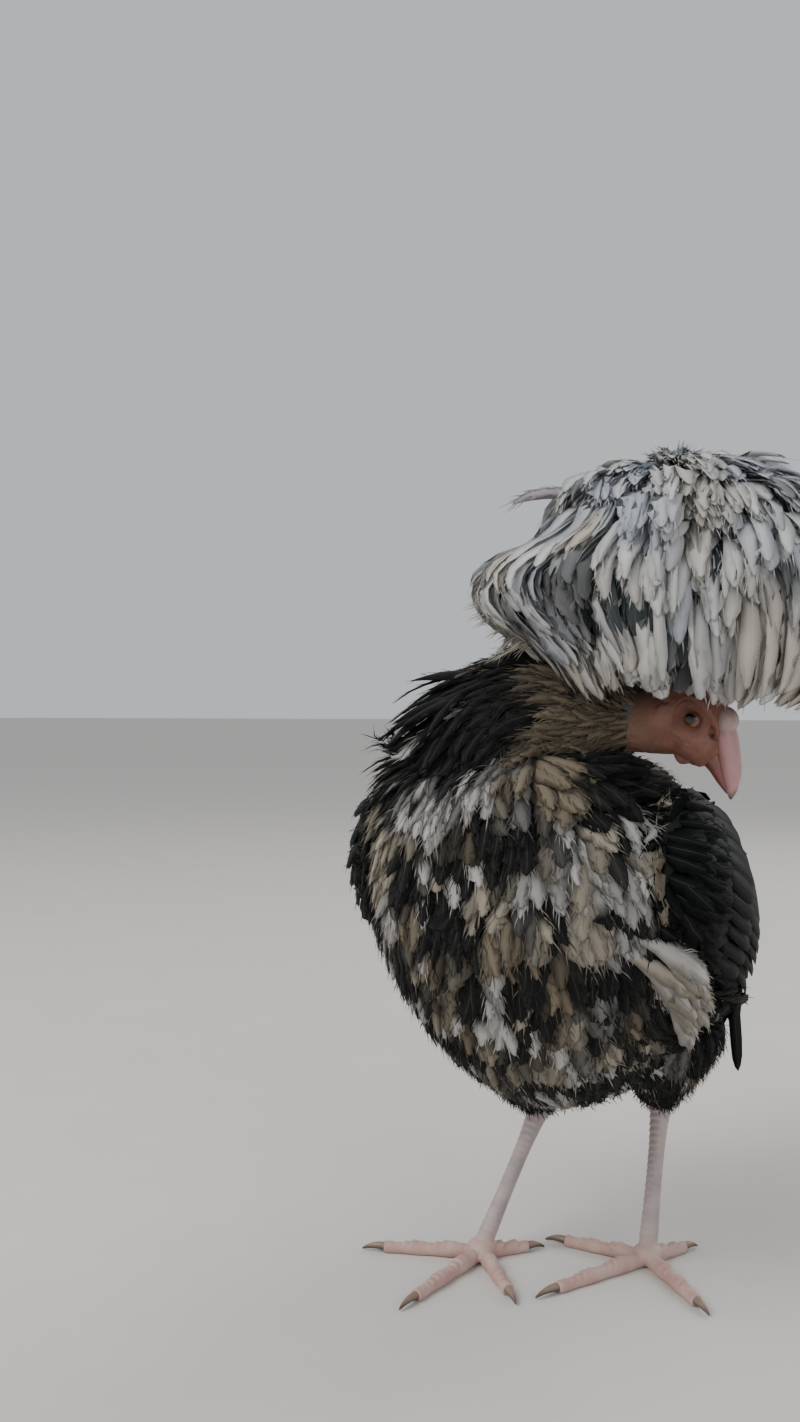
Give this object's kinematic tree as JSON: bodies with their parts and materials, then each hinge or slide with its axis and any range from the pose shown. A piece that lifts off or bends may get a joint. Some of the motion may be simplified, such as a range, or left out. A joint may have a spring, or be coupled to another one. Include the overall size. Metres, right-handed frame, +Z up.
{
  "type": "polish crested chicken",
  "caption": "Standing crested hen with a globe of white crest feathers, mottled black and white body, black folded wings and bare pale legs, head lowered and turned aside.",
  "frame": {"origin": "middle of the whole bird's box, on the floor between the feet", "axes": "+Z up, the hen faces -Y, and +X is towards its left side"},
  "size_m": [0.2576, 0.3262, 0.4092],
  "materials": {
    "feather_white": "soft off-white crest feather with a few dark marks",
    "feather_buff": "tan neck feather, black at the back",
    "feather_mottled": "black, white and buff mottled body feather",
    "feather_black": "black feather with a faint green sheen",
    "face_skin": "bare red-brown skin",
    "comb_skin": "bare red skin",
    "bill": "smooth pink horn with a dark tip",
    "eye": "wet dark eye with a red-brown iris",
    "shank_skin": "pale slate-pink scaled skin",
    "toe_skin": "pink scaled skin",
    "claw": "dark brown horn"
  },
  "bodies": {
    "root": {"bill_lower": "bill", "bill_upper": "bill", "claw_hallux_left": "claw", "claw_hallux_right": "claw", "claw_inner_left": "claw", "claw_inner_right": "claw", "claw_middle_left": "claw", "claw_middle_right": "claw", "claw_outer_left": "claw", "claw_outer_right": "claw", "comb": "comb_skin", "crest": "feather_white", "eye_left": "eye", "eye_right": "eye", "head": "face_skin", "neck": "feather_buff", "shank_left": "shank_skin", "shank_right": "shank_skin", "tail": "feather_black", "thigh_left": "feather_mottled", "thigh_right": "feather_mottled", "toe_hallux_left": "toe_skin", "toe_hallux_right": "toe_skin", "toe_inner_left": "toe_skin", "toe_inner_right": "toe_skin", "toe_middle_left": "toe_skin", "toe_middle_right": "toe_skin", "toe_outer_left": "toe_skin", "toe_outer_right": "toe_skin", "torso": "feather_mottled", "wing_left": "feather_black", "wing_right": "feather_black"}
  },
  "joints": []
}
